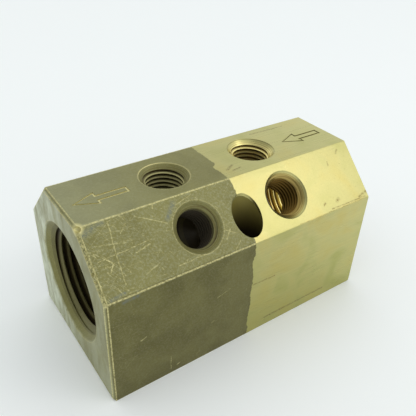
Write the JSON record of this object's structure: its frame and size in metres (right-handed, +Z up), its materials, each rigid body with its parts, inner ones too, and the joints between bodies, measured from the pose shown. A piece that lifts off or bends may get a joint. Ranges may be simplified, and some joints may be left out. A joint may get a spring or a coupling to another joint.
{
  "type": "hydraulic manifold block",
  "caption": "Brass bar manifold with a tapped supply bore and return bore in its ends, smaller tapped side ports, and bolt holes through its middle.",
  "frame": {"origin": "on the underside, below the block's centre", "axes": "+X along the bar from the return end to the supply end, +Y across it to the back, +Z up"},
  "size_m": [0.0952, 0.0508, 0.0508],
  "materials": {
    "brass": "machined bar, bright on the supply half and darkened on the return half"
  },
  "bodies": {
    "root": {"manifold_block": "brass"}
  },
  "joints": []
}
